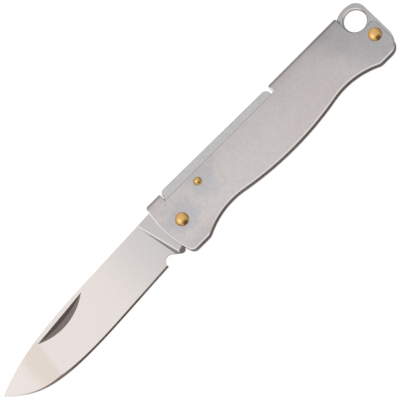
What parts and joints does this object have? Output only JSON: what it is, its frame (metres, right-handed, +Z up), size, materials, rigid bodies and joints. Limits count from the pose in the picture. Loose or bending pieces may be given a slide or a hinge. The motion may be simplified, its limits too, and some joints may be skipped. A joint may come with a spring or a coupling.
{
  "type": "folding pocket knife",
  "caption": "Slim lock-back folding knife: drop-point blade with nail nick, folded sheet-steel handle with brass rivets, rocking lock bar in the back and a lanyard eye.",
  "frame": {"origin": "bottom centre of the box around the open knife, lying on its lower rivet heads", "axes": "+X along the knife towards the lanyard eye, +Y towards its back, +Z up, out of the side with the nail nick"},
  "size_m": [0.154, 0.0198, 0.0059],
  "materials": {
    "handle_sheet": "tumbled satin stainless sheet",
    "blade_steel": "fine satin flat grind",
    "bar_steel": "tumbled satin",
    "tail_steel": "tumbled satin",
    "spring_steel": "plain spring steel",
    "rivet_brass": "polished domed heads",
    "washer_bronze": "plain bronze"
  },
  "bodies": {
    "handle": {"handle_shell": "handle_sheet", "tail_plate": "tail_steel", "leaf_spring": "spring_steel", "pivot_rivet": "rivet_brass", "tail_rivet": "rivet_brass", "lock_pin": "rivet_brass", "pivot_washers": "washer_bronze"},
    "blade": {"blade": "blade_steel"},
    "lock_bar": {"lock_bar": "bar_steel"}
  },
  "joints": [
    {"name": "blade_pivot", "type": "hinge", "parent": "handle", "child": "blade", "pos_m": [-0.00415, -0.00086, 0.00295], "axis": [0, 0, 1], "range_deg": [0, 175]},
    {"name": "lock_bar_rock", "type": "hinge", "parent": "handle", "child": "lock_bar", "pos_m": [0.00685, 0.00394, 0.00295], "axis": [0, 0, -1], "range_deg": [-2.1, 1.6], "stiffness_Nm_per_rad": 0.3, "springref_deg": -28.65, "deforming": ["leaf_spring"]}
  ]
}
